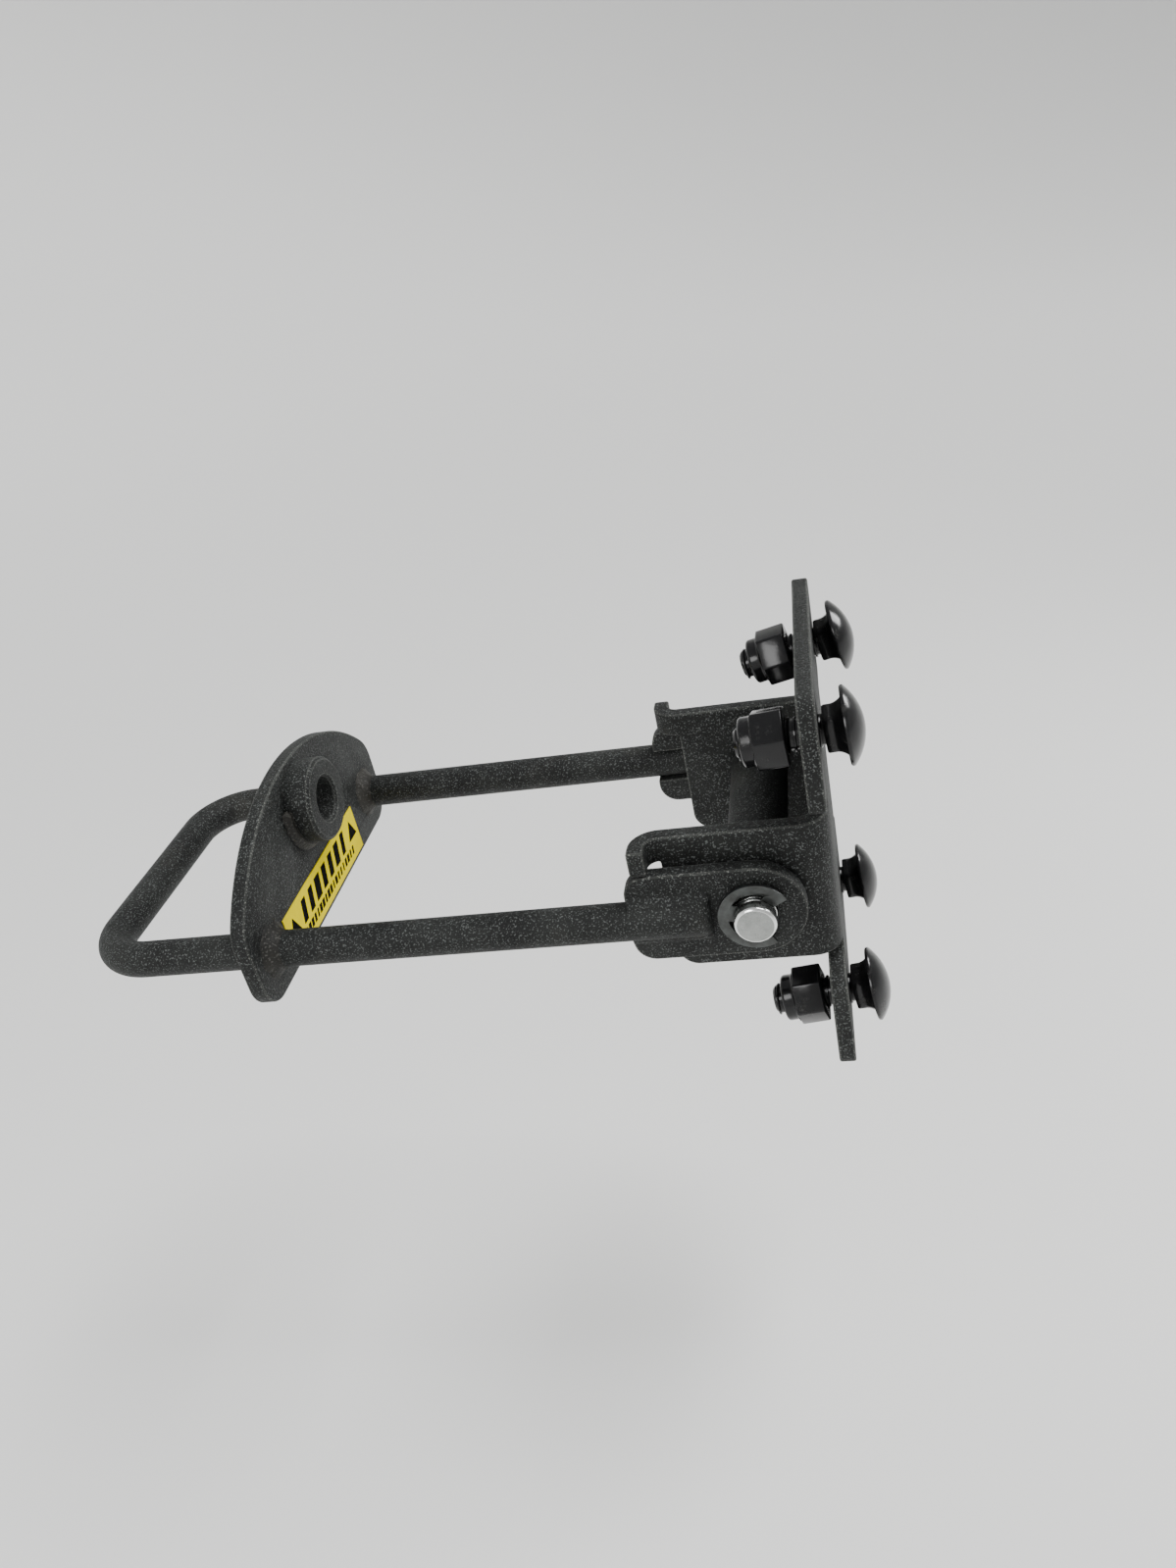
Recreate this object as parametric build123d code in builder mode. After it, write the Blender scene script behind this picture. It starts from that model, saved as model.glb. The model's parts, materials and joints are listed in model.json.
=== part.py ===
from build123d import *
import os

# Hinged bail latch bracket, in millimetres.
# Origin: centre of the back plate's rear face, level with the pivot pin.
# +X points out of that face into the panel that the bracket is bolted to, +Y along the pin, +Z up.
# "right" is the -Y side and "left" the +Y side, as seen by someone who faces the bracket.

os.makedirs("parts", exist_ok=True)

# ---- driving dimensions ----
# back plate and ears, one formed sheet
sheet = 4.6
plate_width = 85.0
plate_height = 116.4
plate_corner = 5.0
bend_inside = 3.2
ear_span = 75.0             # outside to outside
ear_height = 42.4
ear_reach = 44.5            # rear face of the plate to the front edge of an ear
ear_corner = 5.5
relief_height = 5.0         # gap between an ear and the plate's flange above or below it
relief_corner = 2.2

# four carriage bolts and their nuts
bolt_edge_y = 15.6          # bolt's axis to the plate's side
bolt_edge_z = 16.1          # bolt's axis to the plate's end
bolt_shank = 9.2
bolt_hole_play = 0.9        # radial
bolt_head = 20.8
bolt_head_height = 5.0
bolt_head_rim = 0.9
bolt_neck_step = 0.35       # shank to the flats of the square neck
bolt_neck_length = 5.2
bolt_neck_flare = 2.0
bolt_flare_length = 3.4
bolt_neck_corner = 0.8
bolt_tip_chamfer = 0.8
bolt_length = 28.0          # under the head
head_standoff = 8.8         # middle of the sheet to the underside of a head
nut_standoffs = (4.6, 5.8, 4.6, 4.6)  # middle of the sheet to the seat of each nut
nut_wall = 2.75             # shank to the hexagon's flats
nut_hex_height = 8.4
nut_collar_height = 3.5
nut_collar_round = 1.0
nut_corner_reach = 1.15     # how far the hexagon's corners stand past its flats
nut_turns = (30.0, 10.0, 0.0, 30.0)  # degrees that each nut has turned on its bolt
insert_wall = 1.0
collar_wall = 1.0
insert_height = 2.6
insert_lip = 0.5
insert_play = 0.05
thread_clearance = 0.05     # radial
# how far each loose bolt's head has tipped up, in degrees: top left, top right, bottom left, bottom right
bolt_tips = (12.0, 4.0, 6.0, 7.5)

# pivot pin and its two retaining clips
pin_diameter = 11.1
pin_overhang = 3.8          # clip to the pin's end
pin_chamfer = 0.6
spacer_wall = 3.1           # tube round the pin, between the ears
spacer_play = 0.1           # radial
spacer_end_gap = 0.15
swing_clearance = 3.0       # plate to the strap's round end
ear_hole_clearance = 0.10   # radial
strap_hole_clearance = 0.07  # radial, a running fit
groove_depth = 0.95
clip_thickness = 1.3
clip_stand = 4.35           # pin's surface to the clip's rim
clip_rim = 2.8
clip_prong = 5.0
clip_mouth = 90.0           # degrees
clip_turn = -16.0           # direction of the mouth, degrees below +X
clip_play = 0.08
strap_end_play = 1.3        # strap to clip

# bail rod and pivot straps
rod_diameter = 10.6
rod_gap = 1.1               # ear to rod
bail_reach = 215.9          # rear face of the plate to the centre of the cross bar
rod_bend = 16.0             # centre line
strap_sheet = 4.6
strap_gap = 1.9             # ear to strap
strap_width = 27.0
strap_tail = 33.9           # pin axis to the strap's square end
strap_corner = 6.0
rod_lap = 19.0              # length of rod inside the strap's slot
weld_gap = 0.02
weld_leg = 2.6
weld_rise = 2.2
weld_toe = 0.3
weld_inset = 1.0
stop_clearance = 0.3        # stop lip above the strap

# D-shaped cross plate, its boss and its label
cross_front = 158.5         # rear face of the back plate to the cross plate's near face
cross_sheet = 4.6
cross_overhang = 12.6       # rod axis to the plate's end
cross_drop = 13.6           # rod axis to the straight edge
cross_shoulder = 12.1       # rod axis to where the arc meets the plate's ends
cross_cover = 14.6          # boss's axis to the top of the arc
cross_end_corner = 12.0
cross_foot_corner = 9.0
rod_hole_clearance = 0.05   # radial
boss_diameter = 26.0
boss_height = 8.5
boss_bore = 13.5
boss_rise = 23.2            # rod axis to the boss's axis
boss_chamfer = 0.9
boss_weld_start = 165.0     # degrees round the boss from +Y
boss_weld_sweep = 140.0
label_height = 15.4
label_margin = 1.6          # straight edge to the label
label_gap_right = 0.5       # right leg's weld to the label
label_gap_left = 7.5        # left leg's weld to the label
label_film = 0.3

# ---- sizes that follow ----
rod_radius = rod_diameter / 2
ear_inside = ear_span / 2 - sheet
bolt_spacing_y = plate_width - 2 * bolt_edge_y
bolt_spacing_z = plate_height - 2 * bolt_edge_z
bolt_neck = bolt_shank + 2 * bolt_neck_step
nut_flats = bolt_shank + 2 * nut_wall
insert_diameter = bolt_shank + 2 * insert_wall
nut_collar = insert_diameter + 2 * collar_wall
pin_setback = sheet + swing_clearance + strap_width / 2
bend_outside = bend_inside + sheet
strap_inner_face = ear_span / 2 + strap_gap
strap_outer_face = strap_inner_face + strap_sheet
stop_height = strap_width / 2 + stop_clearance
lip_reach = strap_outer_face - ear_span / 2
pin_axis = Plane.XZ.shift_origin((-pin_setback, 0, 0))
clip_inner_face = strap_outer_face + strap_end_play
clip_outer = pin_diameter + 2 * clip_stand
groove_radius = pin_diameter / 2 - groove_depth
pin_length = 2 * (clip_inner_face + clip_thickness + pin_overhang)
leg_y = ear_span / 2 + rod_gap + rod_radius
strap_end_x = -pin_setback - strap_tail
rod_end_x = strap_end_x + rod_lap
cross_width = 2 * (leg_y + cross_overhang)
cross_rise = boss_rise + cross_cover
arc_height = cross_rise - cross_shoulder
cross_arc = (cross_width ** 2 / 4 + arc_height ** 2) / (2 * arc_height)
weld_edge = leg_y - rod_radius - weld_leg
label_right = label_gap_right - weld_edge
label_left = weld_edge - label_gap_left
cross_face = Plane.YZ.offset(-cross_front)
boss_face = cross_face.shift_origin((-cross_front, 0, boss_rise))
sides = {"right": -1, "left": 1}


def save(part, name):
    """Label a finished piece and write its STEP file."""
    part.label = name
    export_step(part, f"parts/{name}.step")


# ---- mount bracket: back plate with two ears, each with an out-turned stop lip ----
with BuildPart() as mount_bracket:
    # flat plate, cut away beside the ears
    with BuildSketch(Plane.YZ):
        Rectangle(plate_width, plate_height)
        fillet(vertices(), radius=plate_corner)
        for side in sides.values():
            with Locations((side * plate_width / 2, 0)):
                Rectangle(plate_width - ear_span + 2 * bend_outside, ear_height + 2 * relief_height,
                          mode=Mode.SUBTRACT)
        relief_vertices = vertices().filter_by(lambda v: abs(v.Y) < ear_height / 2 + relief_height + 1)
        fillet(relief_vertices, radius=relief_corner)
    extrude(amount=-sheet)

    # channel: web and both ears as one bent section
    with BuildSketch(Plane.XY.offset(-ear_height / 2)):
        with Locations((-ear_reach / 2, 0)):
            Rectangle(ear_reach, ear_span)
        fillet(vertices().group_by(Axis.X)[-1], radius=bend_outside)
    extrude(amount=ear_height)
    with BuildSketch(Plane.XY.offset(-ear_height / 2)):
        with Locations((-sheet - ear_reach / 2, 0)):
            Rectangle(ear_reach, 2 * ear_inside)
        fillet(vertices().group_by(Axis.X)[-1], radius=bend_inside)
    extrude(amount=ear_height, mode=Mode.SUBTRACT)
    ear_feet = edges().filter_by(Axis.Y).group_by(Axis.X)[0].group_by(Axis.Z)[0]
    fillet(ear_feet, radius=ear_corner)

    # arm and stop lip at the top of each ear, just above the strap
    with BuildSketch(Plane.XY.offset(stop_height)):
        for side in sides.values():
            outward = (Align.MIN, Align.MIN if side > 0 else Align.MAX)
            with Locations((-ear_reach - bend_outside, side * ear_inside)):
                Rectangle(bend_outside + sheet, sheet, align=outward)
                Rectangle(sheet, sheet + lip_reach, align=outward)
            outside = (-ear_reach - bend_outside, side * ear_inside)
            inside = (-ear_reach - bend_inside, side * ear_span / 2)
            fillet(vertices().sort_by_distance(outside)[0], radius=bend_outside)
            fillet(vertices().sort_by_distance(inside)[0], radius=bend_inside)
    extrude(amount=ear_height / 2 - stop_height)

    # holes for the pin and the four bolts
    with BuildSketch(pin_axis):
        Circle(pin_diameter / 2 + ear_hole_clearance)
    extrude(amount=ear_span, both=True, mode=Mode.SUBTRACT)
    with BuildSketch(Plane.YZ):
        with GridLocations(bolt_spacing_y, bolt_spacing_z, 2, 2):
            Circle(bolt_shank / 2 + bolt_hole_play)
    extrude(amount=2 * sheet, both=True, mode=Mode.SUBTRACT)
save(mount_bracket.part, "mount_bracket")

# ---- pivot pin: plain shaft with a clip groove near each end ----
with BuildPart() as pivot_pin:
    with BuildSketch(pin_axis):
        Circle(pin_diameter / 2)
    extrude(amount=pin_length / 2, both=True)
    chamfer(edges().filter_by(GeomType.CIRCLE), length=pin_chamfer)
    for side in sides.values():
        with BuildSketch(pin_axis.offset(-side * (clip_inner_face - clip_play))):
            Circle(pin_diameter)
            Circle(groove_radius, mode=Mode.SUBTRACT)
        extrude(amount=-side * (clip_thickness + 2 * clip_play), mode=Mode.SUBTRACT)
save(pivot_pin.part, "pivot_pin")

with BuildPart() as spacer_tube:
    with BuildSketch(pin_axis):
        Circle(pin_diameter / 2 + spacer_play + spacer_wall)
        Circle(pin_diameter / 2 + spacer_play, mode=Mode.SUBTRACT)
    extrude(amount=ear_inside - spacer_end_gap, both=True)
save(spacer_tube.part, "spacer_tube")

# ---- E-clips: a rim open at one side, with three prongs that reach into the groove ----
for side_name, side in sides.items():
    with BuildPart() as e_clip:
        with BuildSketch(pin_axis.offset(-side * clip_inner_face)):
            Circle(clip_outer / 2)
            Circle(clip_outer / 2 - clip_rim, mode=Mode.SUBTRACT)
            with PolarLocations(clip_outer / 4 + groove_radius / 2, 3, start_angle=clip_turn + 60):
                Rectangle(clip_outer / 2 - groove_radius - clip_rim / 2, clip_prong)
            Circle(groove_radius + clip_play, mode=Mode.SUBTRACT)
            with BuildLine():
                lower = PolarLine((0, 0), clip_outer, clip_turn - clip_mouth / 2)
                upper = PolarLine((0, 0), clip_outer, clip_turn + clip_mouth / 2)
                Line(lower @ 1, upper @ 1)
            make_face(mode=Mode.SUBTRACT)
        extrude(amount=-side * clip_thickness)
    save(e_clip.part, f"e_clip_{side_name}")

# ---- carriage bolts, lock nuts and their nylon inserts ----
dome_rise = bolt_head_height - bolt_head_rim
dome_radius = (bolt_head ** 2 / 4 + dome_rise ** 2) / (2 * dome_rise)
thread_bore = bolt_shank / 2 + thread_clearance
nut_height = nut_hex_height + nut_collar_height
corners = [(1, 1), (-1, 1), (1, -1), (-1, -1)]
fasteners = zip(corners, bolt_tips, nut_standoffs, nut_turns)
for number, ((side_y, side_z), tip, nut_standoff, nut_turn) in enumerate(fasteners, start=1):
    hole_centre = (-sheet / 2, side_y * bolt_spacing_y / 2, side_z * bolt_spacing_z / 2)
    bolt_plane = Plane(Location(hole_centre, (0, 90 - tip, 0)))
    underside = bolt_plane.offset(head_standoff)
    nut_seat = bolt_plane.offset(-nut_standoff)

    with BuildPart() as carriage_bolt:
        with BuildSketch(underside):
            Circle(bolt_head / 2)
        extrude(amount=bolt_head_height)
        with Locations(underside.offset(bolt_head_height - dome_radius)):
            Sphere(dome_radius, mode=Mode.INTERSECT)
        # square neck, flared where it meets the head
        with BuildSketch(underside):
            Rectangle(bolt_neck + 2 * bolt_neck_flare, bolt_neck + 2 * bolt_neck_flare)
            fillet(vertices(), radius=bolt_neck_flare)
        with BuildSketch(underside.offset(-bolt_flare_length)):
            Rectangle(bolt_neck, bolt_neck)
            fillet(vertices(), radius=bolt_neck_corner)
        loft()
        with BuildSketch(underside.offset(-bolt_flare_length)):
            Rectangle(bolt_neck, bolt_neck)
            fillet(vertices(), radius=bolt_neck_corner)
        extrude(amount=bolt_flare_length - bolt_neck_length)
        with BuildSketch(underside):
            Circle(bolt_shank / 2)
        extrude(amount=-bolt_length)
        chamfer(edges().filter_by(GeomType.CIRCLE).sort_by(Axis.X)[0], length=bolt_tip_chamfer)
    save(carriage_bolt.part, f"carriage_bolt_{number}")

    with BuildPart() as lock_nut:
        # hexagon, its two ends turned down to a chamfer
        with BuildSketch(nut_seat):
            RegularPolygon(nut_flats / 2, 6, major_radius=False, rotation=nut_turn)
        extrude(amount=-nut_hex_height)
        with BuildSketch(nut_seat):
            Circle(nut_flats / 2 + nut_corner_reach)
        extrude(amount=-nut_hex_height, mode=Mode.INTERSECT)
        # round collar over the insert
        with BuildSketch(nut_seat.offset(-nut_hex_height)):
            Circle(nut_collar / 2)
        extrude(amount=-nut_collar_height)
        fillet(edges().filter_by(GeomType.CIRCLE).sort_by(Axis.X)[0], radius=nut_collar_round)
        with BuildSketch(nut_seat):
            Circle(thread_bore)
        extrude(amount=-nut_height, mode=Mode.SUBTRACT)
        with BuildSketch(nut_seat.offset(-nut_height + insert_lip + insert_height)):
            Circle(insert_diameter / 2)
        extrude(amount=-insert_height, mode=Mode.SUBTRACT)
    save(lock_nut.part, f"lock_nut_{number}")

    with BuildPart() as nylon_insert:
        with BuildSketch(nut_seat.offset(-nut_height + insert_lip + insert_height - insert_play)):
            Circle(insert_diameter / 2 - insert_play)
            Circle(thread_bore, mode=Mode.SUBTRACT)
        extrude(amount=2 * insert_play - insert_height)
    save(nylon_insert.part, f"nylon_insert_{number}")

# ---- bail rod: one round rod bent to a U ----
with BuildPart() as bail_rod:
    with BuildLine() as rod_path:
        FilletPolyline((rod_end_x, -leg_y), (-bail_reach, -leg_y), (-bail_reach, leg_y), (rod_end_x, leg_y),
                       radius=rod_bend)
    with BuildSketch(Plane(rod_path.line @ 0, z_dir=rod_path.line % 0)):
        Circle(rod_radius)
    sweep()
save(bail_rod.part, "bail_rod")

# ---- pivot straps, slotted over the rod's ends, and the weld beads that hold them ----
for side_name, side in sides.items():
    with BuildPart() as strap:
        with BuildSketch(pin_axis.offset(-side * strap_inner_face)):
            Circle(strap_width / 2)
            with Locations((-strap_tail / 2, 0)):
                Rectangle(strap_tail, strap_width)
            fillet(vertices().group_by(Axis.X)[0], radius=strap_corner)
            with Locations((-strap_tail, 0)):
                Rectangle(2 * (rod_lap + weld_gap), rod_diameter + 2 * weld_gap, mode=Mode.SUBTRACT)
            Circle(pin_diameter / 2 + strap_hole_clearance, mode=Mode.SUBTRACT)
        extrude(amount=-side * strap_sheet)
    save(strap.part, f"strap_{side_name}")

    with BuildPart() as strap_weld:
        bead_y = side * (strap_outer_face + (weld_gap + weld_rise) / 2)
        with BuildSketch(Plane.YZ.offset(strap_end_x + weld_inset)):
            with Locations((side * leg_y, 0)):
                Circle(rod_radius + weld_leg)
            with Locations((bead_y, 0)):
                Rectangle(weld_rise - weld_gap, 2 * rod_diameter, mode=Mode.INTERSECT)
        extrude(amount=rod_lap - weld_inset + weld_leg)
        with BuildSketch(Plane.YZ.offset(strap_end_x)):
            with Locations((side * leg_y, 0)):
                Circle(rod_radius + weld_gap)
        extrude(amount=rod_lap + weld_gap, mode=Mode.SUBTRACT)
    save(strap_weld.part, f"strap_weld_{side_name}")

# ---- D-shaped cross plate over both legs, with the bore that the boss carries on ----
with BuildPart() as cross_plate:
    with BuildSketch(cross_face):
        with Locations((0, cross_rise - cross_arc)):
            Circle(cross_arc)
        with Locations((0, -cross_drop)):
            Rectangle(cross_width, 2 * (cross_rise + cross_drop), align=(Align.CENTER, Align.MIN),
                      mode=Mode.INTERSECT)
        fillet(vertices().group_by(Axis.Y)[0], radius=cross_foot_corner)
        fillet(vertices().group_by(Axis.Y)[-1], radius=cross_end_corner)
        with GridLocations(2 * leg_y, 1, 2, 1):
            Circle(rod_radius + rod_hole_clearance, mode=Mode.SUBTRACT)
        with Locations((0, boss_rise)):
            Circle(boss_bore / 2, mode=Mode.SUBTRACT)
    extrude(amount=-cross_sheet)
save(cross_plate.part, "cross_plate")

with BuildPart() as latch_boss:
    with BuildSketch(boss_face):
        Circle(boss_diameter / 2)
        Circle(boss_bore / 2, mode=Mode.SUBTRACT)
    extrude(amount=boss_height)
    chamfer(edges().filter_by(GeomType.CIRCLE).group_by(Axis.X)[-1], length=boss_chamfer)
save(latch_boss.part, "latch_boss")

# ---- weld beads on the cross plate: part way round the boss, and round each leg ----
with BuildPart() as boss_weld:
    with Locations(boss_face):
        Cone(boss_diameter / 2 + weld_leg, boss_diameter / 2 + weld_toe, weld_leg, arc_size=boss_weld_sweep,
             rotation=(0, 0, boss_weld_start), align=(Align.NONE, Align.NONE, Align.MIN))
        Cylinder(boss_diameter / 2 + weld_gap, 3 * weld_leg, mode=Mode.SUBTRACT)
save(boss_weld.part, "boss_weld")

for side_name, side in sides.items():
    with BuildPart() as rod_weld:
        with Locations(cross_face.shift_origin((-cross_front, side * leg_y, 0))):
            Cone(rod_radius + weld_leg, rod_radius + weld_toe, weld_leg,
                 align=(Align.CENTER, Align.CENTER, Align.MIN))
            Cylinder(rod_radius + weld_gap, 3 * weld_leg, mode=Mode.SUBTRACT)
    save(rod_weld.part, f"rod_weld_{side_name}")

# ---- label on the cross plate's near face, along its straight edge ----
with BuildPart() as face_label:
    with BuildSketch(cross_face):
        with Locations((label_right, label_margin - cross_drop)):
            Rectangle(label_left - label_right, label_height, align=(Align.MIN, Align.MIN))
    extrude(amount=label_film)
save(face_label.part, "face_label")
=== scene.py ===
"""Looks for a hinged bail latch bracket: a formed plate with a swinging U-shaped bail."""

import json
import logging
import math
import random
from dataclasses import dataclass
from enum import Enum
from typing import Optional, Sequence, Union

import bmesh
import bpy
from mathutils import Matrix, Vector


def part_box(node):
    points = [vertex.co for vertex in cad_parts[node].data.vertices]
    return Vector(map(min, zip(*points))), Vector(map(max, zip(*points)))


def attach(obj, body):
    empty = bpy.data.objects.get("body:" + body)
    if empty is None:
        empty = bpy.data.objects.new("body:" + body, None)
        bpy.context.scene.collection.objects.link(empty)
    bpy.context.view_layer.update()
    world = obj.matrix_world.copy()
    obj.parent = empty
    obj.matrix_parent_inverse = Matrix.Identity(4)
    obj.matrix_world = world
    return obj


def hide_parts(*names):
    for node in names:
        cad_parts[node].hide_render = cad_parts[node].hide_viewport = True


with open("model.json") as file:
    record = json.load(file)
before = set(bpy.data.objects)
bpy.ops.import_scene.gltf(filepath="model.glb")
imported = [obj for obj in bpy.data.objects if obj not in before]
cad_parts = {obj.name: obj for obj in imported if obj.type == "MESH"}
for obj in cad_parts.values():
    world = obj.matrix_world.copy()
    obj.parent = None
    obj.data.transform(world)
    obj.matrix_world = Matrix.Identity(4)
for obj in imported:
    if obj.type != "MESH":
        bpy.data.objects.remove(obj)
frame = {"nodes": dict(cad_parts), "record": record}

log = logging.getLogger("latch_bracket")

MM = 0.001
Colour = tuple[float, float, float]


class Body(Enum):
    """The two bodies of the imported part."""

    BRACKET = "bracket"
    BAIL = "bail"


class Slot(Enum):
    """Material slots of the record."""

    POWDER = "textured_black"
    WELD = "coated_weld"
    GLOSS = "gloss_black"
    ZINC = "bright_zinc"
    SPRING = "spring_steel"
    NYLON = "nylon"
    LABEL = "label_film"


class Grain(Enum):
    """Kinds of fine surface relief."""

    TURNED = "turned"
    SMOOTH = "smooth"


# ---------------------------------------------------------------- shader helpers


class ShaderGraph:
    """A node material with a Principled shader on object coordinates."""

    def __init__(self, name: str) -> None:
        """Start an empty material.

        Args:
            name: The material's name.
        """
        self.material = bpy.data.materials.new(name)
        self.material.use_nodes = True
        self.tree = self.material.node_tree
        self.tree.nodes.clear()
        self.shader = self.tree.nodes.new("ShaderNodeBsdfPrincipled")
        output = self.tree.nodes.new("ShaderNodeOutputMaterial")
        self.link(self.shader.outputs[0], output.inputs[0])
        self.place = self.tree.nodes.new("ShaderNodeTexCoord").outputs["Object"]

    def link(self, source: bpy.types.NodeSocket, target: bpy.types.NodeSocket) -> None:
        """Join two sockets."""
        self.tree.links.new(source, target)

    def noise(self, scale: float, detail: float = 2.0, roughness: float = 0.5,
              stretch: tuple[float, float, float] = (1, 1, 1)) -> bpy.types.NodeSocket:
        """Add a noise pattern.

        Args:
            scale: Features per metre.
            detail: Octaves.
            roughness: How strong the finer octaves are.
            stretch: Scale along each axis.

        Returns:
            The pattern's value, 0 to 1.
        """
        mapping = self.tree.nodes.new("ShaderNodeMapping")
        mapping.inputs["Scale"].default_value = stretch
        self.link(self.place, mapping.inputs["Vector"])
        node = self.tree.nodes.new("ShaderNodeTexNoise")
        node.inputs["Scale"].default_value = scale
        node.inputs["Detail"].default_value = detail
        node.inputs["Roughness"].default_value = roughness
        self.link(mapping.outputs[0], node.inputs["Vector"])
        return node.outputs["Fac"]

    def cells(self, scale: float) -> bpy.types.NodeSocket:
        """Add a pattern of rounded grains.

        Args:
            scale: Grains per metre.

        Returns:
            The distance from a grain's middle.
        """
        node = self.tree.nodes.new("ShaderNodeTexVoronoi")
        node.feature = "SMOOTH_F1"
        node.inputs["Scale"].default_value = scale
        node.inputs["Smoothness"].default_value = 0.6
        self.link(self.place, node.inputs["Vector"])
        return node.outputs["Distance"]

    def remap(self, value: bpy.types.NodeSocket, low: float, high: float,
              to_low: float = 0.0, to_high: float = 1.0) -> bpy.types.NodeSocket:
        """Stretch a value from one range to another, clamped.

        Args:
            value: The value to change.
            low: Input that gives to_low.
            high: Input that gives to_high.
            to_low: Result at low.
            to_high: Result at high.

        Returns:
            The new value.
        """
        node = self.tree.nodes.new("ShaderNodeMapRange")
        limits = {"From Min": low, "From Max": high, "To Min": to_low, "To Max": to_high}
        for socket, number in limits.items():
            node.inputs[socket].default_value = number
        self.link(value, node.inputs["Value"])
        return node.outputs["Result"]

    def tint(self, amount: bpy.types.NodeSocket, first: Union[Colour, bpy.types.NodeSocket],
             second: Union[Colour, bpy.types.NodeSocket]) -> bpy.types.NodeSocket:
        """Mix two colours.

        Args:
            amount: 0 gives the first colour, 1 the second.
            first: A colour or a socket that carries one.
            second: A colour or a socket that carries one.

        Returns:
            The mixed colour.
        """
        node = self.tree.nodes.new("ShaderNodeMix")
        node.data_type = "RGBA"
        self.link(amount, node.inputs[0])
        for value, socket in ((first, node.inputs[6]), (second, node.inputs[7])):
            if isinstance(value, bpy.types.NodeSocket):
                self.link(value, socket)
            else:
                socket.default_value = (*value, 1.0)
        return node.outputs[2]

    def bump(self, height: bpy.types.NodeSocket, depth: float, strength: float = 1.0,
             under: Optional[bpy.types.NodeSocket] = None) -> bpy.types.NodeSocket:
        """Add relief.

        Args:
            height: The height pattern.
            depth: Height of a full step, in metres.
            strength: Share of the relief that shows.
            under: Relief that this lies on.

        Returns:
            The shading normal.
        """
        node = self.tree.nodes.new("ShaderNodeBump")
        node.inputs["Strength"].default_value = strength
        node.inputs["Distance"].default_value = depth
        self.link(height, node.inputs["Height"])
        if under is not None:
            self.link(under, node.inputs["Normal"])
        return node.outputs["Normal"]

    def drive(self, socket: str, value: bpy.types.NodeSocket) -> None:
        """Lead a value into one of the shader's sockets."""
        self.link(value, self.shader.inputs[socket])

    def fix(self, **values: float) -> None:
        """Set shader sockets that are the same all over, with _ for a space in a socket's name."""
        for socket, value in values.items():
            self.shader.inputs[socket.replace("_", " ")].default_value = value


# ---------------------------------------------------------------- finishes


@dataclass(frozen=True)
class PowderCoat:
    """Sand-textured powder coat: tiny grains, painted glints as light specks where grains would catch the
    light, and a paler copy for the soft edges that stands for edge wear together with a painted edge
    highlight.
    """

    name: str = "powder_coat"
    dark: Colour = (0.0035, 0.0040, 0.0037)
    light: Colour = (0.0120, 0.0132, 0.0120)
    rubbed: Colour = (0.034, 0.033, 0.028)
    # The speck colour is a painted highlight: glints off the grains painted into the colour.
    painted_glint: Colour = (0.140, 0.150, 0.146)
    grain: float = 2200.0
    depth: float = 0.00014
    painted_glint_share: float = 0.6

    def material(self) -> bpy.types.Material:
        """Build the material.

        Returns:
            The material.
        """
        graph = ShaderGraph(self.name)
        cloud = graph.remap(graph.noise(55, 3, 0.6), 0.35, 0.68)
        fine = graph.noise(self.grain, 3, 0.65)
        smear = graph.remap(graph.noise(34, 5, 0.62, (1, 1, 0.6)), 0.56, 0.74, 0.0, 0.65)
        base = graph.tint(smear, graph.tint(cloud, self.dark, self.light), self.rubbed)
        # Painted glints: light specks mixed into the base colour where grains would catch the light.
        painted_glints = graph.remap(graph.noise(self.grain, 1, 0.4), 0.565, 0.70, 0.0, self.painted_glint_share)
        graph.drive("Base Color", graph.tint(painted_glints, base, self.painted_glint))
        graph.drive("Roughness", graph.remap(fine, 0.3, 0.7, 0.48, 0.78))
        coarse = graph.bump(graph.cells(self.grain * 0.6), self.depth * 0.9)
        graph.drive("Normal", graph.bump(fine, self.depth, under=coarse))
        graph.fix(Specular_IOR_Level=0.24)
        return graph.material


@dataclass(frozen=True)
class GlossBlack:
    """Glossy black coating of the fasteners, with a faint orange peel and rubbed spots."""

    name: str = "gloss_black"

    def material(self) -> bpy.types.Material:
        """Build the material.

        Returns:
            The material.
        """
        graph = ShaderGraph(self.name)
        peel = graph.noise(420, 2, 0.5)
        rubbed = graph.remap(graph.noise(160, 4, 0.7), 0.56, 0.70)
        graph.drive("Base Color", graph.tint(rubbed, (0.006, 0.006, 0.0065), (0.022, 0.022, 0.021)))
        graph.drive("Roughness", graph.remap(rubbed, 0.0, 1.0, 0.17, 0.40))
        graph.drive("Normal", graph.bump(peel, 0.00006, 0.5))
        graph.fix(Specular_IOR_Level=0.30)
        return graph.material


@dataclass(frozen=True)
class BareSteel:
    """Bright or dark bare steel, turned or rolled. The turned kind is drawn out along the Y axis."""

    name: str
    colour: Colour
    stained: Colour
    rough: tuple[float, float]
    grain: Grain = Grain.SMOOTH

    def material(self) -> bpy.types.Material:
        """Build the material.

        Returns:
            The material.
        """
        graph = ShaderGraph(self.name)
        stain = graph.remap(graph.noise(240, 4, 0.65), 0.42, 0.75)
        graph.drive("Base Color", graph.tint(stain, self.colour, self.stained))
        graph.drive("Roughness", graph.remap(graph.noise(900, 3), 0.3, 0.7, *self.rough))
        if self.grain is Grain.TURNED:
            lathe = graph.noise(620, 1, 0.3, (1, 0.02, 1))
            graph.drive("Normal", graph.bump(lathe, 0.00001, 0.25))
        else:
            graph.drive("Normal", graph.bump(graph.noise(1300, 3), 0.00003, 0.6))
        graph.fix(Metallic=1.0)
        return graph.material


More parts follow.
